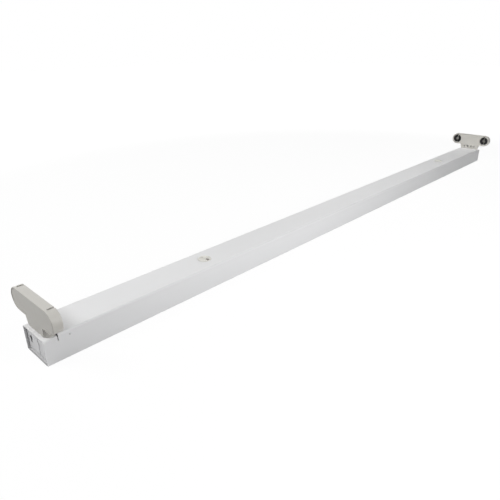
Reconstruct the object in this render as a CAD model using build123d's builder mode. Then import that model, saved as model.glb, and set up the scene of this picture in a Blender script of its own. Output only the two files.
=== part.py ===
from build123d import *
import os

# Twin batten for two tubular LED lamps with two-pin G13 caps, lying on its back.
# Millimetres. The origin is the middle of the mounting face, X runs along the batten,
# Y across it and Z away from the ceiling. The near end is at -X and the far end at +X.

# Lamps and their caps
lamp_gap = 1201.0  # between the front faces of the two lampholders, for 1200 mm tubes
lamp_spacing = 70.0  # between the two tube axes
lamp_height = 56.5  # tube axis above the mounting face
pin_slot = 3.0  # width of the way in for the cap's pins
pin_pocket = 8.0  # from the tube axis to the foot of the lower pin's pocket
pin_reach = 7.7  # room for the pins behind the front face

# Folded steel
sheet = 0.7
bend = 1.8  # outside radius of the folds
nest = 0.3  # gap between one folded part and the next

# Cover
cover_width = 48.0
cover_height = 33.0
cover_lift = 0.4  # the cover's edges stay this far off the ceiling
end_drop = 2.6  # the top is this much lower under the lampholders
end_ledge = 3.5  # batten end to the back of the lampholder
slit_width = 0.9
slit_depth = 8.2  # down the side from the top
slit_setback = 0.7  # from the slit to the lampholder's front face
pip_radius = 1.7  # pressed pips in the sides, near the slits
pip_rise = 0.8
pip_height = 26.7
pip_setback = 13.4  # from the slit

# Base plate and what the installer uses
base_flange = 7.0  # height of the turned-up sides
flange_setback = 22.0  # the sides stop this far from the ends
fixing_spacing = 600.0
fixing_width = 5.5
fixing_length = 14.0
entry_x = 70.0  # cable entry, along the batten
entry_radius = 10.0
entry_rise = 2.6  # height of the dimple that keeps the grommet off the ceiling
entry_dimple = 15.0  # radius of the dimple at the floor
cable_radius = 4.5
grommet_lip = 1.8  # grommet flange, past its hole
grommet_top = 4.2  # collar above the dimple
grommet_play = 0.1

# End plates
plate_recess = 2.4  # behind the cover's end
plate_side_gap = 1.5  # to the cover's side walls
plate_foot = 13.0
plate_foot_width = 32.0
rib_width = 9.0
rib_height = 20.0
rib_bottom = 4.0
rib_rise = 0.5
keyhole_offset = 14.0  # from the middle
keyhole_height = 18.0
keyhole_radius = 3.2
keyhole_slot = 3.0
keyhole_drop = 7.0

# Rivets
rivet_radius = 1.6
rivet_head = 3.0
rivet_head_height = 1.1
rivet_play = 0.05
plate_rivet_offset = 10.0
plate_rivet_inset = 7.5  # from the plate's face

# Lampholder
holder_depth = 11.0
head_edge = 0.8
front_wall = 1.6
cavity_wall = 1.9
lip_play = 0.4  # round the rotor's lip
lid_recess = 0.4  # the lid lies this far inside the rim
lid_thickness = 1.4
lid_rim = 1.2
lid_play = 0.3
lid_edge = 0.3
tab_inset = 4.0  # sides of the lid's tab, inside the foot's sides
tab_rise = 3.2  # the tab's end, above the foot's base
tab_play = 0.35  # round the tab
foot_inset = 3.0  # foot's base, inside the cover's sides
foot_flare = 3.0  # each side, from the base up to the head
foot_recess = 1.0  # foot's back, in front of the head's back
foot_corner = 6.0
foot_sink = 2.0  # the foot runs this far up into the head
neck_inset = 3.0  # inside the foot's base
neck_front = 0.4
neck_depth = 8.9
neck_length = 8.0
neck_play = 0.3
hook_reach = 1.5
hook_height = 4.0
hook_depth = 5.0
terminal_pitch = 8.4
terminal_count = 4
window_width = 2.6
window_height = 5.0
window_rise = 8.6  # window's middle above the foot's base
shaft_width = 5.0
shaft_front = 3.6
shaft_rise = 4.0  # shaft's floor above the foot's base
nib_width = 4.0  # nib of the front wall that reaches over the rotor's edge
nib_thickness = 0.7
nib_gap = 0.4  # between nib and rotor

# Rotor
rotor_radius = 10.0
rotor_step = 1.9  # lower edge round the rotor's face, under the nib
rotor_play = 0.1
rotor_bore = 4.6
rotor_eye = 3.2  # radius of the opening in the front web, over the post
rotor_web = 1.0
rotor_inset = 0.2
rotor_depth = 5.0
rotor_lip = 1.2
rotor_lip_thickness = 1.2
rotor_axial_play = 0.2
rotor_edge = 0.5
post_radius = 4.3
post_inset = 1.8
bearing_inset = 0.2  # from the rotor's edge
bearing_width = 1.4
bearing_gap = 1.7  # from the bearing's edge to its flats

# Contacts
contact_sheet = 0.4
contact_width = 2.2
contact_height = 7.6
contact_gap = 0.2  # between post and contact
contact_bend = 2.6
contact_edge = 0.9  # from the cavity's edge to the lower strip
contact_spread = 0.6  # between the two strips
clamp_width = 4.2
clamp_height = 5.0
clamp_wall = 0.6

# Quarter-turn latches
latch_pitch = 774.0
latch_offset = 11.0  # their middle, from the batten's middle
latch_radius = 9.5
latch_plate = 1.0
latch_bar_width = 3.6
latch_bar_height = 1.5
latch_rim = 1.4
latch_pit = 2.6  # from the rim to the foot of the bar
latch_shaft = 4.0
latch_play = 0.1
cam_length = 15.0
cam_width = 6.0
cam_thickness = 1.8
washer_radius = 7.0
washer_thickness = 0.8

# Keepers
keeper_sheet = 1.0
keeper_top = 27.0
keeper_length = 32.0
keeper_width = 20.0
keeper_foot = 12.0
keeper_bend = 1.6
keeper_play_length = 1.0  # round the cam, at each end
keeper_play_width = 0.75  # round the shaft, at each side
keeper_cam_gap = 0.3

# Terminal block and earth point
block_x = 20.0
block_length = 16.0
block_height = 14.0
pole_pitch = 8.0
pole_count = 3
pole_wall = 2.5  # plastic outside the outer poles
pole_bore = 2.7
pole_level = 5.5  # poles above the block's foot
insert_radius = 2.6
insert_bore = 1.7
clamp_screw_radius = 1.3
clamp_screw_head = 1.7
clamp_screw_well = 2.0
clamp_screw_offset = 4.5
clamp_screw_sunk = 1.5
ear_length = 8.0
ear_height = 3.0
bracket_height = 6.0
bracket_length = 62.0
bracket_width = 26.0
bracket_foot = 9.0
bracket_x = 10.0
small_screw_radius = 1.5
small_screw_head = 3.0
small_screw_head_height = 1.8
small_screw_length = 4.0  # below the sheet it holds
screw_drive_width = 0.8
screw_drive_depth = 0.7
screw_play = 0.05
earth_x = -12.0
tag_thickness = 0.6
tag_radius = 3.4
tag_neck = 5.0

# Leads
lead_radius = 1.0
lead_level = 4.0  # along the floor
lead_bend = 8.0
lead_sweep = 20.0
lead_clear = 0.2
lead_play = 0.05  # in the contacts' box clamps
link_drop = 7.0  # below the neck
link_bend = 5.0
loop_gap = 4.3  # neutral lead, past the terminal block
loop_bend = 4.5
clip_wall = 0.9
clip_length = 8.0
clip_pad_width = 9.0
clip_pad = 1.0
clip_mouth = 1.6
clip_places = (-570.0, -440.0, -290.0, -140.0, 160.0, 300.0, 470.0, 570.0)

# Sizes that follow from the ones above
holder_front = lamp_gap / 2
cavity_radius = rotor_radius + rotor_lip + lip_play
head_radius = cavity_radius + cavity_wall
batten_length = lamp_gap + 2 * (holder_depth + end_ledge)
batten_half = batten_length / 2
end_top = cover_height - end_drop
slit_outer = holder_front - slit_setback
slit_inner = slit_outer - slit_width
base_width = cover_width - 2 * (sheet + nest)
lid_seat = holder_depth - lid_recess - lid_thickness
lid_radius = head_radius - lid_rim - lid_play
head_bottom = lamp_height - head_radius
foot_depth = holder_depth - foot_recess
foot_width = cover_width - 2 * foot_inset
foot_slope = foot_flare / (head_bottom - end_top)
tab_bottom = end_top + tab_rise
tab_half = foot_width / 2 + foot_slope * tab_rise - tab_inset
tab_half_top = foot_width / 2 + foot_flare - tab_inset
neck_width = foot_width - 2 * neck_inset
neck_bottom = end_top - neck_length
rotor_back = rotor_inset + rotor_depth
plate_face = batten_half - plate_recess
pip_x = slit_inner - pip_setback
plate_half = cover_width / 2 - sheet - plate_side_gap
bearing_outer = rotor_radius - bearing_inset
inner_run = cavity_radius - contact_edge - contact_spread - 3 * contact_width / 2
outer_run = cavity_radius - contact_edge - contact_width / 2
contact_offset = post_radius + contact_gap + contact_width / 2
tongue_offset = post_radius + contact_gap + contact_sheet / 2
floor_top = sheet
latch_places = {"near": latch_offset - latch_pitch / 2, "far": latch_offset + latch_pitch / 2}
pole_places = [pole_pitch * (index - (pole_count - 1) / 2) for index in range(pole_count)]
terminal_places = [terminal_pitch * (index - (terminal_count - 1) / 2) for index in range(terminal_count)]
block_foot = bracket_height + sheet
pole_height = block_foot + pole_level
block_width = (pole_count - 1) * pole_pitch + 2 * (pole_bore + pole_wall)
loop_y = block_width / 2 + loop_gap
lead_depth = shaft_front + lead_clear / 2 + clamp_wall + lead_play + lead_radius
link_depth = lead_depth + 2 * (lead_play + lead_radius)

os.makedirs("parts", exist_ok=True)


def save(piece, name):
    """Label a finished piece and write its file."""
    piece.label = name
    export_step(piece, f"parts/{name}.step")


def holder_plane(side, depth=0.0):
    """Plane across a lampholder: sketch x is across the batten, y is up, and out is away from the tubes."""
    return Plane(
        origin=(side * (holder_front + depth), 0, 0),
        x_dir=(0, side, 0),
        z_dir=(side, 0, 0),
    )


def plan_plane(side, height):
    """Level plane whose origin is on a lampholder's front face; sketch -y is away from the tubes."""
    return Plane(
        origin=(side * holder_front, 0, height),
        x_dir=(0, side, 0),
        z_dir=(0, 0, 1),
    )


def length_plane(side, at=0.0):
    """Upright plane along the batten: sketch x is from a place on X towards one end, y is up."""
    return Plane(
        origin=(at, 0, 0),
        x_dir=(side, 0, 0),
        z_dir=(0, -side, 0),
    )


# Cover: one folded channel, lower at both ends, slit at the corners of the step
with BuildPart() as cover:
    for half_length, top in ((slit_outer, cover_height), (batten_half, end_top)):
        with BuildSketch(Plane.YZ) as outside:
            with Locations((0, cover_lift)):
                Rectangle(cover_width, top - cover_lift, align=(Align.CENTER, Align.MIN))
            fillet(outside.vertices().group_by(Axis.Y)[-1], bend)
        extrude(amount=half_length, both=True)
    for half_length, top in ((slit_outer, cover_height), (batten_half, end_top)):
        with BuildSketch(Plane.YZ) as inside:
            Rectangle(cover_width - 2 * sheet, top - sheet, align=(Align.CENTER, Align.MIN))
            fillet(inside.vertices().group_by(Axis.Y)[-1], bend - sheet)
        extrude(amount=half_length, both=True, mode=Mode.SUBTRACT)
    for side in (-1, 1):
        with Locations((side * (slit_inner + slit_outer) / 2, 0, cover_height)):
            Box(slit_width, cover_width, 2 * slit_depth, mode=Mode.SUBTRACT)
        with BuildSketch(plan_plane(side, end_top - 2 * sheet)):
            opening_back = neck_front + neck_depth + neck_play
            with Locations((0, slit_setback)):
                Rectangle(
                    neck_width + 2 * neck_play,
                    opening_back + slit_setback,
                    align=(Align.CENTER, Align.MAX),
                )
        extrude(amount=3 * sheet, mode=Mode.SUBTRACT)
    for place in latch_places.values():
        with Locations((place, 0, cover_height)):
            Hole(radius=latch_shaft + latch_play, depth=2 * sheet)
    for way in (-1, 1):
        side_face = Plane(
            origin=(0, way * cover_width / 2, pip_height),
            x_dir=(way, 0, 0),
            z_dir=(0, way, 0),
        )
        with BuildSketch(side_face):
            with Locations((-pip_x, 0), (pip_x, 0)):
                Circle(pip_radius)
        extrude(amount=pip_rise, taper=40)
        with BuildSketch(side_face.offset(-sheet)):
            with Locations((-pip_x, 0), (pip_x, 0)):
                Circle(pip_radius - sheet / 2)
        extrude(amount=pip_rise, taper=40, mode=Mode.SUBTRACT)
save(cover.part, "cover")

# Base plate: shallow tray with turned-up sides, fixing slots and a dimpled cable entry
with BuildPart() as base_plate:
    with BuildSketch(Plane.YZ) as outside:
        Rectangle(base_width, base_flange, align=(Align.CENTER, Align.MIN))
        fillet(outside.vertices().group_by(Axis.Y)[0], bend)
    extrude(amount=batten_half, both=True)
    with BuildSketch(Plane.YZ) as inside:
        with Locations((0, sheet)):
            Rectangle(base_width - 2 * sheet, base_flange, align=(Align.CENTER, Align.MIN))
        fillet(inside.vertices().group_by(Axis.Y)[0], bend - sheet)
    extrude(amount=batten_half, both=True, mode=Mode.SUBTRACT)
    for side in (-1, 1):
        with Locations((side * batten_half, 0, sheet)):
            Box(
                2 * flange_setback,
                base_width,
                2 * base_flange,
                align=(Align.CENTER, Align.CENTER, Align.MIN),
                mode=Mode.SUBTRACT,
            )
    with BuildSketch(Plane.XY):
        with Locations((-fixing_spacing / 2, 0), (fixing_spacing / 2, 0)):
            SlotOverall(fixing_length, fixing_width)
        with Locations((entry_x, 0)):
            Circle(entry_dimple)
        for side in (-1, 1):
            with Locations((side * (plate_face - plate_rivet_inset), 0)):
                with GridLocations(0, 2 * plate_rivet_offset, 1, 2):
                    Circle(rivet_radius + rivet_play)
        for place in latch_places.values():
            with Locations((place, 0)):
                with GridLocations(keeper_length + keeper_foot, 0, 2, 1):
                    Circle(rivet_radius + rivet_play)
        with Locations((bracket_x, 0)):
            with GridLocations(bracket_length + bracket_foot, 0, 2, 1):
                Circle(rivet_radius + rivet_play)
    extrude(amount=sheet, mode=Mode.SUBTRACT)
    with BuildSketch(Plane.XZ):
        with BuildLine():
            Polyline(
                (entry_x + entry_dimple + sheet, 0),
                (entry_x + entry_dimple, 0),
                (entry_x + entry_dimple - entry_rise, entry_rise),
                (entry_x + entry_radius, entry_rise),
                (entry_x + entry_radius, entry_rise + sheet),
                (entry_x + entry_dimple - entry_rise + sheet / 2, entry_rise + sheet),
                (entry_x + entry_dimple + sheet / 2, sheet),
                (entry_x + entry_dimple + sheet, sheet),
                close=True,
            )
        make_face()
    revolve(axis=Axis((entry_x, 0, 0), (0, 0, 1)))
save(base_plate.part, "base_plate")

# End plates: folded up from a riveted foot, with a pressed rib and a keyhole
for end, side in (("near", -1), ("far", 1)):
    with BuildPart() as end_plate:
        with BuildSketch(length_plane(side)):
            with BuildLine():
                FilletPolyline(
                    (plate_face - plate_foot, floor_top + sheet / 2),
                    (plate_face - sheet / 2, floor_top + sheet / 2),
                    (plate_face - sheet / 2, end_top - sheet - nest),
                    radius=bend - sheet / 2,
                )
            trace(line_width=sheet)
        extrude(amount=plate_half, both=True)
        corner = plate_half - plate_foot_width / 2
        for way in (-1, 1):
            with Locations((side * (plate_face - bend - plate_foot / 2), way * plate_half, floor_top)):
                Box(plate_foot, 2 * corner, 2 * sheet, mode=Mode.SUBTRACT)
        face_plane = Plane(origin=(side * plate_face, 0, 0), x_dir=(0, side, 0), z_dir=(side, 0, 0))
        rib_middle = rib_bottom + rib_height / 2
        with BuildSketch(face_plane):
            with Locations((0, rib_middle)):
                SlotOverall(rib_height, rib_width, rotation=90)
        extrude(amount=rib_rise)
        with BuildSketch(face_plane.offset(rib_rise - sheet)):
            with Locations((0, rib_middle)):
                SlotOverall(rib_height - 2 * sheet, rib_width - 2 * sheet, rotation=90)
        extrude(amount=-sheet, mode=Mode.SUBTRACT)
        with BuildSketch(face_plane):
            with Locations((-keyhole_offset, keyhole_height)):
                Circle(keyhole_radius)
            with Locations((-keyhole_offset, keyhole_height - keyhole_drop / 2)):
                SlotOverall(keyhole_drop, keyhole_slot, rotation=90)
        extrude(amount=-sheet, mode=Mode.SUBTRACT)
        with BuildSketch(Plane.XY.offset(floor_top)):
            with Locations((side * (plate_face - plate_rivet_inset), 0)):
                with GridLocations(0, 2 * plate_rivet_offset, 1, 2):
                    Circle(rivet_radius + rivet_play)
        extrude(amount=sheet, mode=Mode.SUBTRACT)
    save(end_plate.part, f"end_plate_{end}")


def rivets(places, grip):
    """Rivets set flush with the base's back, with a low head on top of what they hold."""
    with BuildPart() as group:
        with BuildSketch(Plane.XY):
            with Locations(*places):
                Circle(rivet_radius)
        extrude(amount=grip)
        with BuildSketch(Plane.XY.offset(grip)):
            with Locations(*places):
                Circle(rivet_head)
        extrude(amount=rivet_head_height, taper=20)
    return group.part


plate_rivet_places = [
    (side * (plate_face - plate_rivet_inset), way * plate_rivet_offset) for side in (-1, 1) for way in (-1, 1)
]
save(rivets(plate_rivet_places, floor_top + sheet), "end_plate_rivets")
keeper_rivet_places = [
    (place + way * (keeper_length + keeper_foot) / 2, 0) for place in latch_places.values() for way in (-1, 1)
]
save(rivets(keeper_rivet_places, floor_top + keeper_sheet), "keeper_rivets")
bracket_rivet_places = [(bracket_x + way * (bracket_length + bracket_foot) / 2, 0) for way in (-1, 1)]
save(rivets(bracket_rivet_places, floor_top + sheet), "bracket_rivets")


def tab_outline(play):
    """Corners of the lid's tab, which closes the terminal shafts at the back of the foot."""
    return [
        (-tab_half - play, tab_bottom - play),
        (tab_half + play, tab_bottom - play),
        (tab_half_top + play, head_bottom),
        (tab_half_top + play, lamp_height),
        (-tab_half_top - play, lamp_height),
        (-tab_half_top - play, head_bottom),
    ]


# Lampholders: housing, back lid, contacts and two rotors at each end
for end, side in (("near", -1), ("far", 1)):
    lamps = [(-lamp_spacing / 2, lamp_height), (lamp_spacing / 2, lamp_height)]

    with BuildPart() as housing:
        with BuildSketch(holder_plane(side)):
            with Locations((0, lamp_height)):
                SlotCenterToCenter(lamp_spacing, 2 * head_radius)
        extrude(amount=holder_depth)
        rims = housing.edges().group_by(Axis.X)
        fillet(rims[0] + rims[-1], head_edge)
        for height in (end_top, head_bottom + foot_sink):
            with BuildSketch(plan_plane(side, height)) as level:
                Rectangle(
                    foot_width + 2 * foot_slope * (height - end_top),
                    foot_depth,
                    align=(Align.CENTER, Align.MAX),
                )
                fillet(level.vertices().group_by(Axis.Y)[0], foot_corner)
        loft()
        with BuildSketch(plan_plane(side, neck_bottom)):
            with Locations((0, -neck_front)):
                Rectangle(neck_width, neck_depth, align=(Align.CENTER, Align.MAX))
        extrude(amount=neck_length)
        hook_top = end_top - sheet - nest
        with BuildSketch(holder_plane(side, neck_front + (neck_depth - hook_depth) / 2)):
            with BuildLine():
                Polyline(
                    (-neck_width / 2, hook_top - hook_height),
                    (-neck_width / 2 - hook_reach, hook_top - sheet),
                    (-neck_width / 2 - hook_reach, hook_top),
                    (neck_width / 2 + hook_reach, hook_top),
                    (neck_width / 2 + hook_reach, hook_top - sheet),
                    (neck_width / 2, hook_top - hook_height),
                    close=True,
                )
            make_face()
        extrude(amount=hook_depth)
        with BuildSketch(holder_plane(side, front_wall)):
            with Locations((0, lamp_height)):
                SlotCenterToCenter(lamp_spacing, 2 * cavity_radius)
        extrude(amount=holder_depth, mode=Mode.SUBTRACT)
        with BuildSketch(holder_plane(side, lid_seat)):
            with Locations((0, lamp_height)):
                SlotCenterToCenter(lamp_spacing, 2 * (lid_radius + lid_play))
            with BuildLine():
                Polyline(*tab_outline(tab_play), close=True)
            make_face()
        extrude(amount=holder_depth, mode=Mode.SUBTRACT)
        with BuildSketch(holder_plane(side)):
            with Locations(*lamps):
                Circle(rotor_radius + rotor_play)
        extrude(amount=front_wall, mode=Mode.SUBTRACT)
        with BuildSketch(holder_plane(side)):
            nib_end = lamp_height - rotor_radius + rotor_step - nib_gap
            with Locations(*[(place, nib_end) for place, height in lamps]):
                Rectangle(nib_width, rotor_step, align=(Align.CENTER, Align.MAX))
        extrude(amount=nib_thickness)
        with BuildSketch(holder_plane(side)):
            with Locations(*lamps):
                Rectangle(pin_slot, 2 * head_radius, align=(Align.CENTER, Align.MIN))
        extrude(amount=pin_reach, mode=Mode.SUBTRACT)
        with BuildSketch(plan_plane(side, end_top + shaft_rise)):
            with Locations(*[(place, -shaft_front) for place in terminal_places]):
                Rectangle(shaft_width, lid_seat - shaft_front, align=(Align.CENTER, Align.MAX))
        extrude(amount=head_bottom + cavity_wall - end_top - shaft_rise + foot_sink, mode=Mode.SUBTRACT)
        with BuildSketch(plan_plane(side, neck_bottom)):
            for depth in (lead_depth, link_depth):
                with Locations(*[(place, -depth) for place in terminal_places]):
                    Circle(lead_radius + lead_clear)
        extrude(amount=neck_length + shaft_rise, mode=Mode.SUBTRACT)
        with BuildSketch(holder_plane(side)):
            with Locations(*[(place, end_top + window_rise) for place in terminal_places]):
                Rectangle(window_width, window_height)
        extrude(amount=shaft_front, mode=Mode.SUBTRACT)
    save(housing.part, f"lampholder_housing_{end}")

    with BuildPart() as lid:
        with BuildSketch(holder_plane(side, lid_seat)):
            with Locations((0, lamp_height)):
                SlotCenterToCenter(lamp_spacing, 2 * lid_radius)
            with BuildLine():
                Polyline(*tab_outline(0), close=True)
            make_face()
        extrude(amount=lid_thickness)
        fillet(lid.edges().group_by(Axis.X)[-1 if side > 0 else 0], lid_edge)
        with BuildSketch(holder_plane(side, post_inset)):
            with Locations(*lamps):
                Circle(post_radius)
                Rectangle(pin_slot, 2 * post_radius, mode=Mode.SUBTRACT)
        extrude(amount=lid_seat - post_inset)
        with BuildSketch(holder_plane(side, rotor_back + rotor_axial_play)):
            with Locations(*lamps):
                Circle(bearing_outer)
                Circle(bearing_outer - bearing_width, mode=Mode.SUBTRACT)
                Rectangle(2 * (bearing_outer - bearing_gap), 2 * bearing_outer, mode=Mode.SUBTRACT)
        extrude(amount=lid_seat - rotor_back - rotor_axial_play)
    save(lid.part, f"lampholder_lid_{end}")

    with BuildPart() as contacts:
        for hand in (-1, 1):
            axis_at = hand * lamp_spacing / 2
            for way, run, clamp_at in (
                (-hand, inner_run, hand * terminal_pitch / 2),
                (hand, outer_run, hand * terminal_pitch * 3 / 2),
            ):
                start = axis_at + way * contact_offset
                clamp_top = end_top + window_rise + clamp_height / 2
                with BuildSketch(holder_plane(side, lid_seat - contact_sheet)):
                    with BuildLine():
                        FilletPolyline(
                            (start, lamp_height + contact_height / 2),
                            (start, lamp_height - run),
                            (clamp_at, lamp_height - run),
                            (clamp_at, clamp_top - clamp_height),
                            radius=contact_bend,
                        )
                    trace(line_width=contact_width)
                extrude(amount=contact_sheet)
                with BuildSketch(holder_plane(side, rotor_back + 2 * rotor_axial_play)):
                    with Locations((axis_at + way * tongue_offset, lamp_height)):
                        Rectangle(contact_sheet, contact_height)
                extrude(amount=lid_seat - rotor_back - 2 * rotor_axial_play)
                with BuildSketch(plan_plane(side, clamp_top - clamp_height)):
                    with Locations((clamp_at, -(shaft_front + lid_seat) / 2)):
                        Rectangle(clamp_width, lid_seat - shaft_front - lead_clear)
                        Rectangle(
                            clamp_width - 2 * clamp_wall,
                            lid_seat - shaft_front - lead_clear - 2 * clamp_wall,
                            mode=Mode.SUBTRACT,
                        )
                extrude(amount=clamp_height)
    save(contacts.part, f"lampholder_contacts_{end}")

    for hand, place in (("left", 1), ("right", -1)):
        at = (side * place * lamp_spacing / 2, lamp_height)
        with BuildPart() as rotor:
            with BuildSketch(holder_plane(side, rotor_inset)):
                with Locations(at):
                    Circle(rotor_radius - rotor_step)
            extrude(amount=rotor_depth)
            chamfer(rotor.edges().group_by(Axis.X)[0 if side > 0 else -1], rotor_edge)
            step_level = nib_thickness + nib_gap
            with BuildSketch(holder_plane(side, step_level)):
                with Locations(at):
                    Circle(rotor_radius)
            extrude(amount=rotor_back - step_level)
            with BuildSketch(holder_plane(side, front_wall + rotor_axial_play)):
                with Locations(at):
                    Circle(rotor_radius + rotor_lip)
            extrude(amount=rotor_lip_thickness)
            with BuildSketch(holder_plane(side, rotor_inset + rotor_web)):
                with Locations(at):
                    Circle(rotor_bore)
            extrude(amount=rotor_depth, mode=Mode.SUBTRACT)
            with BuildSketch(holder_plane(side)):
                with Locations(at):
                    Circle(rotor_eye)
                    Rectangle(pin_slot, 2 * rotor_radius, align=(Align.CENTER, Align.MIN))
                    with Locations((0, -pin_pocket / 2)):
                        SlotOverall(pin_pocket, pin_slot, rotation=90)
            extrude(amount=holder_depth, mode=Mode.SUBTRACT)
        save(rotor.part, f"rotor_{end}_{hand}")

# Latches, their washers and the keepers that the cams turn under
for end, place in latch_places.items():
    with BuildPart() as latch:
        head_under = cover_height + latch_play
        with BuildSketch(Plane.XY.offset(head_under)):
            with Locations((place, 0)):
                Circle(latch_radius)
        extrude(amount=latch_plate + latch_bar_height)
        fillet(latch.edges().group_by(Axis.Z)[-1], latch_bar_height / 2)
        with BuildSketch(Plane.XY.offset(head_under + latch_plate)):
            with Locations((place, 0)):
                Circle(latch_radius - latch_rim)
            with Locations((place, (latch_rim + latch_pit) / 2)):
                bar_length = 2 * latch_radius - latch_rim - latch_pit
                Rectangle(latch_bar_width, bar_length, mode=Mode.SUBTRACT)
        extrude(amount=latch_bar_height, mode=Mode.SUBTRACT)
        cam_top = keeper_top - keeper_sheet - keeper_cam_gap
        with BuildSketch(Plane.XY.offset(cam_top - cam_thickness)):
            with Locations((place, 0)):
                Circle(latch_shaft)
        extrude(amount=head_under - cam_top + cam_thickness)
        with BuildSketch(Plane.XY.offset(cam_top - cam_thickness)):
            with Locations((place, 0)):
                SlotOverall(cam_length, cam_width, rotation=90)
        extrude(amount=cam_thickness)
    save(latch.part, f"latch_{end}")

    with BuildPart() as washer:
        with BuildSketch(Plane.XY.offset(cover_height - sheet - latch_play - washer_thickness)):
            with Locations((place, 0)):
                Circle(washer_radius)
                Circle(latch_shaft, mode=Mode.SUBTRACT)
        extrude(amount=washer_thickness)
    save(washer.part, f"latch_washer_{end}")

    with BuildPart() as keeper:
        foot_level = floor_top + keeper_sheet / 2
        top_level = keeper_top - keeper_sheet / 2
        leg_at = (keeper_length - keeper_sheet) / 2
        foot_end = keeper_length / 2 + keeper_foot
        with BuildSketch(length_plane(1, place)):
            with BuildLine():
                FilletPolyline(
                    (-foot_end, foot_level),
                    (-leg_at, foot_level),
                    (-leg_at, top_level),
                    (leg_at, top_level),
                    (leg_at, foot_level),
                    (foot_end, foot_level),
                    radius=keeper_bend,
                )
            trace(line_width=keeper_sheet)
        extrude(amount=keeper_width / 2, both=True)
        with BuildSketch(Plane.XY.offset(keeper_top)):
            with Locations((place, 0)):
                SlotOverall(cam_length + 2 * keeper_play_length, 2 * (latch_shaft + keeper_play_width))
        extrude(amount=-2 * keeper_sheet, mode=Mode.SUBTRACT)
        with BuildSketch(Plane.XY.offset(floor_top)):
            with Locations((place, 0)):
                with GridLocations(keeper_length + keeper_foot, 0, 2, 1):
                    Circle(rivet_radius + rivet_play)
        extrude(amount=keeper_sheet, mode=Mode.SUBTRACT)
    save(keeper.part, f"latch_keeper_{end}")

# Terminal bracket: low bridge with the terminal block on it and the earth point beside it
with BuildPart() as terminal_bracket:
    foot_level = floor_top + sheet / 2
    top_level = bracket_height + sheet / 2
    leg_at = (bracket_length - sheet) / 2
    foot_end = bracket_length / 2 + bracket_foot
    with BuildSketch(length_plane(1, bracket_x)):
        with BuildLine():
            FilletPolyline(
                (-foot_end, foot_level),
                (-leg_at, foot_level),
                (-leg_at, top_level),
                (leg_at, top_level),
                (leg_at, foot_level),
                (foot_end, foot_level),
                radius=bend - sheet / 2,
            )
        trace(line_width=sheet)
    extrude(amount=bracket_width / 2, both=True)
    ear_x = block_x + block_length / 2 + ear_length / 2
    with BuildSketch(Plane.XY.offset(bracket_height)):
        with Locations((ear_x, 0), (earth_x, 0)):
            Circle(small_screw_radius + screw_play)
    extrude(amount=sheet, mode=Mode.SUBTRACT)
    with BuildSketch(Plane.XY.offset(floor_top)):
        with Locations((bracket_x, 0)):
            with GridLocations(bracket_length + bracket_foot, 0, 2, 1):
                Circle(rivet_radius + rivet_play)
    extrude(amount=sheet, mode=Mode.SUBTRACT)
save(terminal_bracket.part, "terminal_bracket")

# Terminal block: three poles side by side, open at both ends, with screw wells on top and an ear
with BuildPart() as terminal_block:
    with BuildSketch(Plane.XY.offset(block_foot)):
        with Locations((block_x, 0)):
            RectangleRounded(block_length, block_width, pole_wall / 2)
    extrude(amount=block_height)
    with BuildSketch(Plane.XY.offset(block_foot)):
        with Locations((block_x + block_length / 2, 0)):
            Rectangle(2 * ear_length, 2 * small_screw_head + pole_wall)
        with Locations((ear_x, 0)):
            Circle(small_screw_radius + screw_play, mode=Mode.SUBTRACT)
    extrude(amount=ear_height)
    with BuildSketch(Plane.XY.offset(block_foot + block_height)):
        groove_places = [place + pole_pitch / 2 for place in pole_places[:-1]]
        with Locations(*[(block_x, place) for place in groove_places]):
            Rectangle(block_length, pole_wall / 2)
    extrude(amount=-block_height / 2, mode=Mode.SUBTRACT)
    with BuildSketch(Plane.YZ.offset(block_x)):
        with Locations(*[(place, pole_height) for place in pole_places]):
            Circle(pole_bore)
    extrude(amount=block_length, both=True, mode=Mode.SUBTRACT)
    with BuildSketch(Plane.XY.offset(block_foot + block_height)):
        with Locations((block_x, 0)):
            with GridLocations(2 * clamp_screw_offset, pole_pitch, 2, pole_count):
                Circle(clamp_screw_well)
    extrude(amount=-(block_height - pole_level), mode=Mode.SUBTRACT)
save(terminal_block.part, "terminal_block")

with BuildPart() as terminal_inserts:
    with BuildSketch(Plane.YZ.offset(block_x)):
        with Locations(*[(place, pole_height) for place in pole_places]):
            Circle(insert_radius)
            Circle(insert_bore, mode=Mode.SUBTRACT)
    extrude(amount=block_length / 2 - 1, both=True)
    with BuildSketch(Plane.XY.offset(pole_height)):
        with Locations((block_x, 0)):
            with GridLocations(2 * clamp_screw_offset, pole_pitch, 2, pole_count):
                Circle(clamp_screw_radius + screw_play)
    extrude(amount=2 * insert_radius, mode=Mode.SUBTRACT)
save(terminal_inserts.part, "terminal_inserts")

with BuildPart() as terminal_screws:
    screw_top = block_foot + block_height - clamp_screw_sunk
    screw_foot = pole_height + lead_radius
    with BuildSketch(Plane.XY.offset(screw_foot)):
        with Locations((block_x, 0)):
            with GridLocations(2 * clamp_screw_offset, pole_pitch, 2, pole_count):
                Circle(clamp_screw_radius)
    extrude(amount=screw_top - screw_foot)
    with BuildSketch(Plane.XY.offset(pole_height + insert_radius + lead_clear)):
        with Locations((block_x, 0)):
            with GridLocations(2 * clamp_screw_offset, pole_pitch, 2, pole_count):
                Circle(clamp_screw_head)
    extrude(amount=screw_top - pole_height - insert_radius - lead_clear)
    with BuildSketch(Plane.XY.offset(screw_top)):
        with Locations((block_x, 0)):
            with GridLocations(2 * clamp_screw_offset, pole_pitch, 2, pole_count):
                Rectangle(2 * clamp_screw_head, screw_drive_width)
    extrude(amount=-screw_drive_depth, mode=Mode.SUBTRACT)
save(terminal_screws.part, "terminal_screws")


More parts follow.
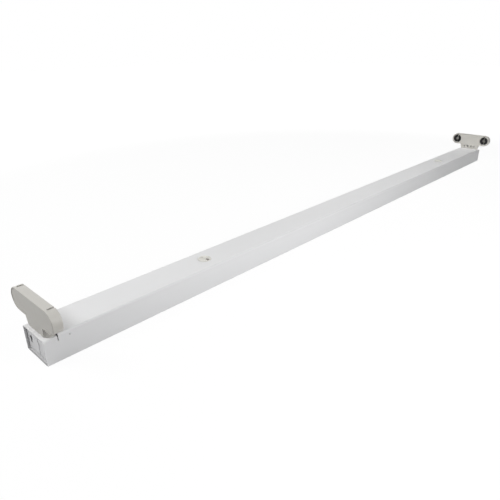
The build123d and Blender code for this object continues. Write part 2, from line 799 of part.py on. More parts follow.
def pan_screw(x, seat):
    """Slotted pan-head screw that holds a piece on the terminal bracket."""
    with BuildPart() as screw:
        with BuildSketch(Plane.XY.offset(seat)):
            with Locations((x, 0)):
                Circle(small_screw_head)
        extrude(amount=small_screw_head_height)
        fillet(screw.edges().group_by(Axis.Z)[-1], small_screw_head_height / 2)
        with BuildSketch(Plane.XY.offset(seat + small_screw_head_height)):
            with Locations((x, 0)):
                Rectangle(2 * small_screw_head, screw_drive_width)
        extrude(amount=-screw_drive_depth, mode=Mode.SUBTRACT)
        with BuildSketch(Plane.XY.offset(seat)):
            with Locations((x, 0)):
                Circle(small_screw_radius)
        extrude(amount=-(seat - bracket_height + small_screw_length))
    return screw.part


save(pan_screw(ear_x, block_foot + ear_height), "block_screw")
save(pan_screw(earth_x, block_foot + tag_thickness), "earth_screw")

# Earth tag: ring under the earth screw, with a crimped neck towards the terminal block
with BuildPart() as earth_tag:
    with BuildSketch(Plane.XY.offset(block_foot)):
        with Locations((earth_x, 0)):
            Circle(tag_radius)
        with Locations((earth_x + tag_radius, 0)):
            Rectangle(tag_neck, 2 * lead_radius)
        with Locations((earth_x, 0)):
            Circle(small_screw_radius + screw_play, mode=Mode.SUBTRACT)
    extrude(amount=tag_thickness)
    barrel_x = earth_x + tag_radius + tag_neck / 2
    barrel_level = block_foot + lead_radius + tag_thickness
    with BuildSketch(Plane.YZ.offset(barrel_x)):
        with Locations((0, barrel_level)):
            Circle(lead_radius + tag_thickness)
    extrude(amount=tag_neck)
    with BuildSketch(Plane.YZ.offset(barrel_x + tag_thickness)):
        with Locations((0, barrel_level)):
            Circle(lead_radius)
    extrude(amount=tag_neck, mode=Mode.SUBTRACT)
save(earth_tag.part, "earth_tag")

# Cable grommet: turned rubber ring that grips the edge of the dimpled hole
with BuildPart() as cable_grommet:
    with BuildSketch(Plane.XZ):
        with BuildLine():
            Polyline(
                (entry_x + cable_radius, entry_rise - grommet_lip + grommet_play),
                (entry_x + entry_radius + grommet_lip, entry_rise - grommet_lip + grommet_play),
                (entry_x + entry_radius + grommet_lip, entry_rise),
                (entry_x + entry_radius - grommet_play, entry_rise),
                (entry_x + entry_radius - grommet_play, entry_rise + sheet),
                (entry_x + entry_radius + grommet_lip, entry_rise + sheet),
                (entry_x + entry_radius, entry_rise + sheet + grommet_lip),
                (entry_x + cable_radius + grommet_lip, entry_rise + sheet + grommet_top),
                (entry_x + cable_radius, entry_rise + sheet + grommet_top),
                close=True,
            )
        make_face()
    revolve(axis=Axis((entry_x, 0, 0), (0, 0, 1)))
save(cable_grommet.part, "cable_grommet")


def lead(points, radii, name):
    """Insulated lead along straight runs and arcs."""
    with BuildPart() as wire:
        with BuildLine() as route:
            FilletPolyline(*points, radius=radii)
        with BuildSketch(Plane(origin=route.line @ 0, z_dir=route.line % 0)):
            Circle(lead_radius)
        sweep()
    save(wire.part, name)


lead_y = terminal_pitch * (terminal_count - 1) / 2
clamp_middle = end_top + window_rise
holder_x = holder_front + lead_depth
start_x = block_x - block_length / 2 + lead_sweep / 4

lead(
    [
        (start_x, pole_places[0], pole_height),
        (start_x - 2 * lead_sweep, pole_places[0], pole_height),
        (start_x - 4 * lead_sweep, -lead_y, lead_level),
        (-holder_x, -lead_y, lead_level),
        (-holder_x, -lead_y, clamp_middle),
    ],
    [lead_sweep, lead_sweep, lead_bend],
    "live_lead",
)
lead(
    [
        (start_x, pole_places[-1], pole_height),
        (start_x - lead_sweep, pole_places[-1], pole_height),
        (start_x - lead_sweep, loop_y, pole_height),
        (block_x + 2 * lead_sweep, loop_y, pole_height),
        (block_x + 4 * lead_sweep, lead_y, lead_level),
        (holder_x, lead_y, lead_level),
        (holder_x, lead_y, clamp_middle),
    ],
    [loop_bend, loop_bend, lead_sweep, lead_sweep, lead_bend],
    "neutral_lead",
)
lead(
    [
        (start_x, pole_places[1], pole_height),
        (start_x - lead_sweep / 2, pole_places[1], pole_height),
        (barrel_x + tag_neck + lead_radius, 0, barrel_level),
        (barrel_x + tag_thickness, 0, barrel_level),
    ],
    [lead_radius * 2, lead_radius * 2],
    "earth_lead",
)
for end, side in (("near", -1), ("far", 1)):
    link_x = side * (holder_front + link_depth)
    link_level = neck_bottom - link_drop
    lead(
        [
            (link_x, -lead_y, clamp_middle),
            (link_x, -lead_y, link_level),
            (link_x, lead_y, link_level),
            (link_x, lead_y, clamp_middle),
        ],
        [link_bend, link_bend],
        f"link_lead_{end}",
    )

# Wire clips: small saddles on the floor, open at the top
with BuildPart() as wire_clips:
    for place in clip_places:
        across = -lead_y if place < 0 else lead_y
        ring = lead_radius + lead_clear / 4 + clip_wall
        with BuildSketch(Plane.YZ.offset(place)):
            with Locations((across, floor_top)):
                Rectangle(clip_pad_width, clip_pad, align=(Align.CENTER, Align.MIN))
                Rectangle(2 * clip_wall, lead_level - floor_top, align=(Align.CENTER, Align.MIN))
            with Locations((across, lead_level)):
                Circle(ring)
                Circle(ring - clip_wall, mode=Mode.SUBTRACT)
                Rectangle(clip_mouth, ring, align=(Align.CENTER, Align.MIN), mode=Mode.SUBTRACT)
        extrude(amount=clip_length / 2, both=True)
save(wire_clips.part, "wire_clips")
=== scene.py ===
"""Looks of a twin-lamp batten light fixture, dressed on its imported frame."""

from __future__ import annotations

import logging
import math
from dataclasses import dataclass
from enum import Enum
from functools import cache
from typing import Callable

import bpy
from mathutils import Matrix, Vector

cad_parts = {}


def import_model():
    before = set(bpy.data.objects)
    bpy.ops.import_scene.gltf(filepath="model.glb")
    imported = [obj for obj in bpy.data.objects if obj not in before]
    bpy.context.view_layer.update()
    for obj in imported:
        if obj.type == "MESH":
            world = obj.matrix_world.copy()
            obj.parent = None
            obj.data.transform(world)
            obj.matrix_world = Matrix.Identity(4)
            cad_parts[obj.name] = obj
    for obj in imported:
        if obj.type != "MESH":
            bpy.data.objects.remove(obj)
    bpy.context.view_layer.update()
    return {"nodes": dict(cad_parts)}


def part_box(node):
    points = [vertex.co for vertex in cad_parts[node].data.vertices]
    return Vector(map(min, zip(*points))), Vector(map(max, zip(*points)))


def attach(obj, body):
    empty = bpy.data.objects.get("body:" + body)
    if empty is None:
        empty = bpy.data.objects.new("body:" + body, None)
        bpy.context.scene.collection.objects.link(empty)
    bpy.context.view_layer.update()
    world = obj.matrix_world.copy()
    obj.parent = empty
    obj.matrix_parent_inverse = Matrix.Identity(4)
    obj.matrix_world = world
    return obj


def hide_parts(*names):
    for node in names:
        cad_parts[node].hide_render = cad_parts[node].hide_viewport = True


LOG = logging.getLogger("batten")
MM = 0.001
OPAQUE = 1.0
MERGE_LIMIT = MM / 1000
BEVEL_ANGLE = math.radians(30)
SMOOTH_ANGLE = math.radians(35)
NOISE = "ShaderNodeTexNoise"
CELLS = "ShaderNodeTexVoronoi"
Colour = tuple[float, float, float]
Point = tuple[float, float, float]
Span = tuple[float, float]
Material = bpy.types.Material
Piece = bpy.types.Object
Socket = bpy.types.NodeSocket
Reading = Socket | float
Outputs = bpy.types.bpy_prop_collection
Tree = bpy.types.NodeTree
Nodes = dict[str, Piece]
Choice = Callable[[Vector], bool]


class Effect(Enum):
    """Surface effects shared between finishes, each one shader node group."""

    SPRAYED_PEEL = "sprayed_peel"
    MOULD_GRAIN = "mould_grain"
    HANDLED_TONE = "handled_tone"
    ROLLED_STREAK = "rolled_streak"
    FOLDED_EDGE = "folded_edge"
    CUT_EDGE = "cut_edge"


class Joinery(Enum):
    """How one solid shape meets another."""

    WELD = "UNION"
    CUT = "DIFFERENCE"


class NodeSheet:
    """Adds and links nodes in one node tree."""

    def __init__(self, tree: Tree) -> None:
        """Keep the tree that the nodes go to.

        Args:
            tree: The node tree of a material, a world or a group.
        """
        self.tree = tree

    def add(self, kind: str, **settings: object) -> bpy.types.Node:
        """Add a node and set its properties or unlinked inputs.

        Args:
            kind: The node's type name.
            settings: Property names, or input names with spaces as underscores, and their values.

        Returns:
            The new node.
        """
        node = self.tree.nodes.new(kind)
        for name, value in settings.items():
            if hasattr(node, name):
                setattr(node, name, value)
            else:
                node.inputs[name.replace("_", " ")].default_value = value
        return node

    def link(self, source: Socket, target: Socket) -> None:
        """Join an output to an input.

        Args:
            source: The output.
            target: The input.
        """
        self.tree.links.new(source, target)

    def put(self, target: Socket, value: object) -> None:
        """Set an input, or link it to an output.

        Args:
            target: The input.
            value: A number, a colour or an output's socket.
        """
        if isinstance(value, bpy.types.NodeSocket):
            self.link(value, target)
        elif isinstance(value, tuple):
            target.default_value = (*value, OPAQUE)
        else:
            target.default_value = value

    def math(self, operation: str, first: Socket, second: Reading) -> Socket:
        """Add one sum on a value.

        Args:
            operation: The Math node's operation.
            first: The value's socket.
            second: A number or another socket.

        Returns:
            The result's socket.
        """
        node = self.add("ShaderNodeMath", operation=operation)
        self.link(first, node.inputs[0])
        self.put(node.inputs[1], second)
        return node.outputs[0]

    def span(self, value: Socket, low: float, high: float) -> Socket:
        """Stretch a value of 0 to 1 over a range.

        Args:
            value: The value's socket.
            low: Result at 0.
            high: Result at 1.

        Returns:
            The result's socket.
        """
        node = self.add("ShaderNodeMapRange", To_Min=low, To_Max=high)
        self.link(value, node.inputs["Value"])
        return node.outputs["Result"]

    def ease(self, value: Socket, start: Reading, full: Reading, results: Span = (0.0, 1.0)) -> Socket:
        """Go smoothly from one number to another as a value rises.

        Args:
            value: The value's socket.
            start: The value at which the change begins.
            full: The value at which it is complete.
            results: The numbers before and after the change.

        Returns:
            The result's socket.
        """
        low, high = results
        node = self.add("ShaderNodeMapRange", interpolation_type="SMOOTHSTEP", To_Min=low, To_Max=high)
        self.link(value, node.inputs["Value"])
        self.put(node.inputs["From Min"], start)
        self.put(node.inputs["From Max"], full)
        return node.outputs["Result"]

    def split(self, vector: Socket) -> Outputs:
        """Take a vector apart.

        Args:
            vector: The vector's socket.

        Returns:
            The sockets of its X, Y and Z, by name.
        """
        node = self.add("ShaderNodeSeparateXYZ")
        self.link(vector, node.inputs["Vector"])
        return node.outputs


class GroupSheet(NodeSheet):
    """A new shader node group that reads coordinates and puts out values."""

    def __init__(self, effect: Effect, inputs: dict[str, float], outputs: tuple[str, ...]) -> None:
        """Make the group and its sockets.

        Args:
            effect: The effect it is for.
            inputs: Names and default values of its number inputs; a Vector input comes first.
            outputs: Names of its value outputs.
        """
        super().__init__(bpy.data.node_groups.new(effect.value, "ShaderNodeTree"))
        sockets = self.tree.interface
        sockets.new_socket(name="Vector", in_out="INPUT", socket_type="NodeSocketVector")
        for name, value in inputs.items():
            socket = sockets.new_socket(name=name, in_out="INPUT", socket_type="NodeSocketFloat")
            socket.default_value = value
        for name in outputs:
            sockets.new_socket(name=name, in_out="OUTPUT", socket_type="NodeSocketFloat")
        self.given = self.add("NodeGroupInput").outputs
        self.wanted = self.add("NodeGroupOutput").inputs
        self.place = self.given["Vector"]

    def texture(self, kind: str, scale: str, place: Socket | None = None, **settings: object) -> Outputs:
        """Add a texture whose scale is one of the group's inputs.

        Args:
            kind: The texture node's type name.
            scale: Name of the group's input for the scale.
            place: Coordinates to read, or None for the group's own.
            settings: Properties and other inputs of the texture.

        Returns:
            The texture's outputs, by name.
        """
        node = self.add(kind, **settings)
        self.link(self.place if place is None else place, node.inputs["Vector"])
        self.link(self.given[scale], node.inputs["Scale"])
        return node.outputs

    def give(self, **values: Socket) -> Tree:
        """Put the group's results out.

        Args:
            values: The socket for each of the group's outputs, by name.

        Returns:
            The finished group.
        """
        for name, value in values.items():
            self.link(value, self.wanted[name])
        return self.tree


class EffectLibrary:
    """Builds each shared effect once, as a shader node group."""

    GRIT_EDGE: Span = (0.05, 0.16)  # where a speck's edge begins and ends
    GRIT_RARITY: float = 0.93  # brightness of a cell's own colour above which it has a speck
    GRIT_HEIGHT: float = 0.6
    LEVEL: Span = (0.6, 1.0)  # upward part of the normal where dust begins and is full
    STREAK_SQUEEZE: Point = (0.03, 1.0, 1.0)
    STREAK_SHARE: float = 0.6
    FOLD_GAIN: float = 2.0  # makes the mask full halfway round a fold
    FOLD_BREAK: Span = (0.7, 1.3)

    @cache
    def sprayed_peel(self) -> Tree:
        """Make the ripple of a baked powder coat: a soft cell a millimetre or two across, with rare grit.

        Returns:
            The group.
        """
        sheet = GroupSheet(Effect.SPRAYED_PEEL, {"Ripple": 700.0, "Grit": 260.0}, ("Height", "Speck"))
        ripple = sheet.texture(NOISE, "Ripple", Detail=1.5, Roughness=0.45)["Fac"]
        grit = sheet.texture(CELLS, "Grit", feature="F1")
        grain = sheet.ease(grit["Distance"], *self.GRIT_EDGE, (1.0, 0.0))
        rare = sheet.math("GREATER_THAN", grit["Color"], self.GRIT_RARITY)
        speck = sheet.math("MULTIPLY", grain, rare)
        height = sheet.math("ADD", ripple, sheet.math("MULTIPLY", speck, self.GRIT_HEIGHT))
        return sheet.give(Height=height, Speck=speck)

    @cache
    def mould_grain(self) -> Tree:
        """Make the spark-eroded grain of a moulding tool, with slow flow of the resin under it.

        Returns:
            The group.
        """
        sheet = GroupSheet(Effect.MOULD_GRAIN, {"Grain": 2600.0, "Flow": 60.0}, ("Height", "Drift"))
        grain = sheet.texture(NOISE, "Grain", Detail=3.0, Roughness=0.6)["Fac"]
        flow = sheet.texture(NOISE, "Flow", Detail=2.0, Roughness=0.5, Distortion=0.8)["Fac"]
        return sheet.give(Height=grain, Drift=flow)

    @cache
    def handled_tone(self) -> Tree:
        """Make the slow change of tone and gloss left by handling, and a little dust on level faces.

        Returns:
            The group.
        """
        sheet = GroupSheet(Effect.HANDLED_TONE, {"Patch": 14.0, "Smear": 45.0}, ("Tone", "Gloss", "Dust"))
        patch = sheet.texture(NOISE, "Patch", Detail=3.0, Roughness=0.55)["Fac"]
        smear = sheet.texture(NOISE, "Smear", Detail=4.0, Roughness=0.6, Distortion=1.2)["Fac"]
        facing = sheet.split(sheet.add("ShaderNodeNewGeometry").outputs["Normal"])
        level = sheet.ease(facing["Z"], *self.LEVEL)
        return sheet.give(Tone=patch, Gloss=smear, Dust=sheet.math("MULTIPLY", level, smear))

    @cache
    def rolled_streak(self) -> Tree:
        """Make the fine lines of rolled or drawn metal along X, with a faint crystal mottle.

        Returns:
            The group.
        """
        sheet = GroupSheet(Effect.ROLLED_STREAK, {"Lines": 900.0, "Mottle": 160.0}, ("Height", "Mask"))
        squeeze = sheet.add("ShaderNodeMapping", Scale=self.STREAK_SQUEEZE)
        sheet.link(sheet.place, squeeze.inputs["Vector"])
        lines = sheet.texture(NOISE, "Lines", squeeze.outputs["Vector"], Detail=2.0, Roughness=0.6)["Fac"]
        mottle = sheet.texture(CELLS, "Mottle", feature="F1")["Distance"]
        mask = sheet.math("MULTIPLY", sheet.math("ADD", lines, mottle), self.STREAK_SHARE)
        return sheet.give(Height=lines, Mask=mask)

    @cache
    def folded_edge(self) -> Tree:
        """Mask the round of a fold for painted shade, full halfway round it, broken up a little along it.

        Returns:
            The group.
        """
        sheet = GroupSheet(Effect.FOLDED_EDGE, {"Break": 60.0}, ("Fold",))
        normal = sheet.add("ShaderNodeNewGeometry").outputs["Normal"]
        square = sheet.add("ShaderNodeVectorMath", operation="MULTIPLY")
        fourth = sheet.add("ShaderNodeVectorMath", operation="DOT_PRODUCT")
        for socket in (0, 1):
            sheet.link(normal, square.inputs[socket])
            sheet.link(square.outputs["Vector"], fourth.inputs[socket])
        slant = sheet.span(fourth.outputs["Value"], self.FOLD_GAIN, 0.0)
        broken = sheet.texture(NOISE, "Break", Detail=2.0, Roughness=0.5)["Fac"]
        return sheet.give(Fold=sheet.math("MULTIPLY", slant, sheet.span(broken, *self.FOLD_BREAK)))

    @cache
    def cut_edge(self) -> Tree:
        """Mask the sheared ends of a long sheet across X, where the finish turns darker.

        Returns:
            The group.
        """
        sheet = GroupSheet(Effect.CUT_EDGE, {"Start": 613.4 * MM, "Full": 613.9 * MM}, ("Cut",))
        reach = sheet.add("ShaderNodeMath", operation="ABSOLUTE")
        sheet.link(sheet.split(sheet.place)["X"], reach.inputs[0])
        return sheet.give(Cut=sheet.ease(reach.outputs[0], sheet.given["Start"], sheet.given["Full"]))


EFFECTS = EffectLibrary()


class FinishSheet(NodeSheet):
    """A new material with its shader, its object coordinates and effect groups."""

    def __init__(self, name: str) -> None:
        """Start a material.

        Args:
            name: The material's name.
        """
        self.material = bpy.data.materials.new(name)
        self.material.use_nodes = True
        super().__init__(self.material.node_tree)
        self.shader = self.tree.nodes["Principled BSDF"]
        self.place = self.add("ShaderNodeTexCoord").outputs["Object"]

    def effect(self, group: Tree, **values: float) -> Outputs:
        """Place an effect group that reads the object coordinates.

        Args:
            group: The effect's node group.
            values: Its number inputs.

        Returns:
            The group's outputs, by name.
        """
        node = self.add("ShaderNodeGroup", node_tree=group, **values)
        self.link(self.place, node.inputs["Vector"])
        return node.outputs

    def blend(self, mask: Socket, first: Socket | Colour, second: Colour) -> Socket:
        """Mix two colours by a mask.

        Args:
            mask: 0 for the first colour, 1 for the second.
            first: A colour or the socket of one.
            second: A colour.

        Returns:
            The mixed colour's socket.
        """
        node = self.add("ShaderNodeMix", data_type="RGBA")
        self.link(mask, node.inputs["Factor"])
        self.put(node.inputs["A"], first)
        self.put(node.inputs["B"], second)
        return node.outputs["Result"]

    def feed(self, name: str, value: object) -> None:
        """Set or link one input of the shader.

        Args:
            name: The input's name.
            value: A number, a colour or a socket.
        """
        self.put(self.shader.inputs[name], value)

    def roughen(self, mask: Socket, rough: float, change: Span) -> None:
        """Let the roughness follow a mask.

        Args:
            mask: 0 for the first change, 1 for the second.
            rough: The finish's roughness.
            change: What is added to it at either end of the mask.
        """
        self.feed("Roughness", self.span(mask, rough + change[0], rough + change[1]))

    def bump(self, height: Socket, depth: float, strength: float) -> None:
        """Raise the surface by a height.

        Args:
            height: The height's socket, about 0 to 1.
            depth: Height of 1, in metres.
            strength: Share of it that shows.
        """
        node = self.add("ShaderNodeBump", Strength=strength, Distance=depth)
        self.link(height, node.inputs["Height"])
        self.feed("Normal", node.outputs["Normal"])


@dataclass(frozen=True)
class PowderCoat:
    """Baked powder coat on folded steel."""

    name: str
    colour: Colour
    shade: Colour
    dust: Colour
    # painted shade: the colour that the round of each fold is darkened towards
    fold: Colour
    rough: float
    cut: Colour | None = None
    ripple: float = 620.0
    grit: float = 240.0
    patch: float = 9.0
    smear: float = 40.0
    dust_share: float = 0.35
    speck_share: float = 0.25
    rough_change: Span = (-0.07, 0.09)
    index: float = 1.46
    depth: float = 0.06 * MM
    strength: float = 0.5

    def make(self) -> Material:
        """Build the material.

        Returns:
            The material.
        """
        sheet = FinishSheet(self.name)
        peel = sheet.effect(EFFECTS.sprayed_peel(), Ripple=self.ripple, Grit=self.grit)
        tone = sheet.effect(EFFECTS.handled_tone(), Patch=self.patch, Smear=self.smear)
        base = sheet.blend(tone["Tone"], self.colour, self.shade)
        base = sheet.blend(sheet.span(tone["Dust"], 0.0, self.dust_share), base, self.dust)
        base = sheet.blend(sheet.math("MULTIPLY", peel["Speck"], self.speck_share), base, self.dust)
        # painted shade: the round of every fold is darkened towards the fold colour
        base = sheet.blend(sheet.effect(EFFECTS.folded_edge())["Fold"], base, self.fold)
        if self.cut is not None:
            base = sheet.blend(sheet.effect(EFFECTS.cut_edge())["Cut"], base, self.cut)
        sheet.feed("Base Color", base)
        sheet.roughen(tone["Gloss"], self.rough, self.rough_change)
        sheet.feed("IOR", self.index)
        sheet.bump(peel["Height"], self.depth, self.strength)
        return sheet.material


@dataclass(frozen=True)
class Moulding:
    """Moulded plastic or rubber with a fine eroded grain."""

    name: str
    colour: Colour
    shade: Colour
    dust: Colour
    rough: float
    grain: float
    depth: float = 0.03 * MM
    gloss: float = 0.5
    flow: float = 55.0
    patch: float = 25.0
    smear: float = 90.0
    dust_share: float = 0.3
    rough_change: Span = (-0.08, 0.08)
    index: float = 1.55
    strength: float = 0.6

    def make(self) -> Material:
        """Build the material.

        Returns:
            The material.
        """
        sheet = FinishSheet(self.name)
        grain = sheet.effect(EFFECTS.mould_grain(), Grain=self.grain, Flow=self.flow)
        tone = sheet.effect(EFFECTS.handled_tone(), Patch=self.patch, Smear=self.smear)
        base = sheet.blend(grain["Drift"], self.colour, self.shade)
        base = sheet.blend(sheet.span(tone["Dust"], 0.0, self.dust_share), base, self.dust)
        sheet.feed("Base Color", base)
        sheet.roughen(tone["Gloss"], self.rough, self.rough_change)
        sheet.feed("IOR", self.index)
        sheet.feed("Specular IOR Level", self.gloss)
        sheet.bump(grain["Height"], self.depth, self.strength)
        return sheet.material


@dataclass(frozen=True)
class BareMetal:
    """Plated, rolled or turned metal."""

    name: str
    colour: Colour
    shade: Colour
    rough: float
    mottle: float
    lines: float = 1100.0
    patch: float = 40.0
    smear: float = 160.0
    rough_change: Span = (-0.1, 0.12)
    depth: float = 0.02 * MM
    strength: float = 0.35

    def make(self) -> Material:
        """Build the material.

        Returns:
            The material.
        """
        sheet = FinishSheet(self.name)
        streak = sheet.effect(EFFECTS.rolled_streak(), Lines=self.lines, Mottle=self.mottle)
        tone = sheet.effect(EFFECTS.handled_tone(), Patch=self.patch, Smear=self.smear)
        sheet.feed("Base Color", sheet.blend(streak["Mask"], self.colour, self.shade))
        sheet.feed("Metallic", 1.0)
        sheet.roughen(tone["Gloss"], self.rough, self.rough_change)
        sheet.bump(streak["Height"], self.depth, self.strength)
        return sheet.material


@dataclass(frozen=True)
class Insulation:
    """Extruded wire insulation, plain or with a stripe along one side."""

    name: str
    colour: Colour
    shade: Colour
    stripe: Colour | None = None
    stripe_edge: float = 0.2 * MM
    grain: float = 1800.0
    flow: float = 120.0
    rough: float = 0.3
    rough_change: Span = (0.0, 0.15)
    depth: float = 0.02 * MM
    strength: float = 0.4

    def make(self) -> Material:
        """Build the material.

        Returns:
            The material.
        """
        sheet = FinishSheet(self.name)
        grain = sheet.effect(EFFECTS.mould_grain(), Grain=self.grain, Flow=self.flow)
        base = sheet.blend(grain["Drift"], self.colour, self.shade)
        if self.stripe is not None:
            side = sheet.math("GREATER_THAN", sheet.split(sheet.place)["Y"], self.stripe_edge)
            base = sheet.blend(side, base, self.stripe)
        sheet.feed("Base Color", base)
        sheet.roughen(grain["Drift"], self.rough, self.rough_change)
        sheet.bump(grain["Height"], self.depth, self.strength)
        return sheet.material


WHITE_COAT = PowderCoat(
    "white_powder_coat",
    colour=(0.803, 0.804, 0.812),
    shade=(0.78, 0.783, 0.79),
    dust=(0.765, 0.76, 0.75),
    fold=(0.71, 0.71, 0.715),
    rough=0.40,
)
BASE_COAT = PowderCoat(
    "base_powder_coat",
    colour=(0.63, 0.63, 0.637),
    shade=(0.605, 0.607, 0.612),
    dust=(0.61, 0.605, 0.595),
    fold=(0.56, 0.56, 0.565),
    rough=0.46,
    cut=(0.41, 0.41, 0.415),
)
IVORY_MOULDING = Moulding(
    "ivory_moulding",
    colour=(0.575, 0.56, 0.522),
    shade=(0.55, 0.534, 0.494),
    dust=(0.575, 0.565, 0.54),
    rough=0.46,
    grain=2600.0,
)
LATCH_MOULDING = Moulding(
    "latch_moulding",
    colour=(0.70, 0.69, 0.645),
    shade=(0.68, 0.665, 0.615),
    dust=(0.70, 0.69, 0.67),
    rough=0.42,
    grain=2400.0,
)
# painted shade: a dark finish for the latch's pit and bar end, standing in for the shade that falls there
PIT_SHADE = Moulding(
    "pit_painted_shade",
    colour=(0.33, 0.31, 0.29),
    shade=(0.26, 0.24, 0.22),
    dust=(0.34, 0.33, 0.31),
    rough=0.6,
    grain=1400.0,
    depth=0.05 * MM,
)
ROTOR_MOULDING = Moulding(
    "rotor_moulding",
    colour=(0.012, 0.012, 0.013),
    shade=(0.018, 0.017, 0.017),
    dust=(0.03, 0.03, 0.03),
    rough=0.46,
    grain=2200.0,
    gloss=0.2,
)
BLOCK_MOULDING = Moulding(
    "block_moulding",
    colour=(0.72, 0.72, 0.68),
    shade=(0.68, 0.68, 0.63),
    dust=(0.7, 0.69, 0.66),
    rough=0.42,
    grain=2000.0,
)
CLIP_MOULDING = Moulding(
    "clip_moulding",
    colour=(0.50, 0.51, 0.52),
    shade=(0.46, 0.47, 0.48),
    dust=(0.5, 0.5, 0.5),
    rough=0.45,
    grain=2000.0,
)
GROMMET_RUBBER = Moulding(
    "grommet_rubber",
    colour=(0.03, 0.03, 0.03),
    shade=(0.042, 0.041, 0.04),
    dust=(0.09, 0.088, 0.085),
    rough=0.72,
    grain=1500.0,
    depth=0.06 * MM,
)
ZINC_PLATE = BareMetal("zinc_plate", (0.62, 0.63, 0.65), (0.48, 0.49, 0.51), rough=0.36, mottle=140.0)
SPRING_STEEL = BareMetal("spring_steel", (0.50, 0.50, 0.51), (0.36, 0.36, 0.37), rough=0.30, mottle=220.0)
RIVET_METAL = BareMetal("rivet_aluminium", (0.72, 0.73, 0.74), (0.58, 0.59, 0.60), rough=0.34, mottle=260.0)
TINNED_BRONZE = BareMetal("tinned_bronze", (0.30, 0.29, 0.275), (0.20, 0.19, 0.18), rough=0.44, mottle=200.0)
TERMINAL_BRASS = BareMetal("terminal_brass", (0.75, 0.58, 0.28), (0.60, 0.44, 0.20), rough=0.30, mottle=240.0)
BROWN_WIRE = Insulation("brown_insulation", (0.115, 0.045, 0.02), (0.095, 0.036, 0.016))
BLUE_WIRE = Insulation("blue_insulation", (0.03, 0.09, 0.36), (0.025, 0.075, 0.31))
EARTH_WIRE = Insulation(
    "earth_insulation", (0.07, 0.30, 0.04), (0.06, 0.26, 0.035), stripe=(0.72, 0.62, 0.04)
)


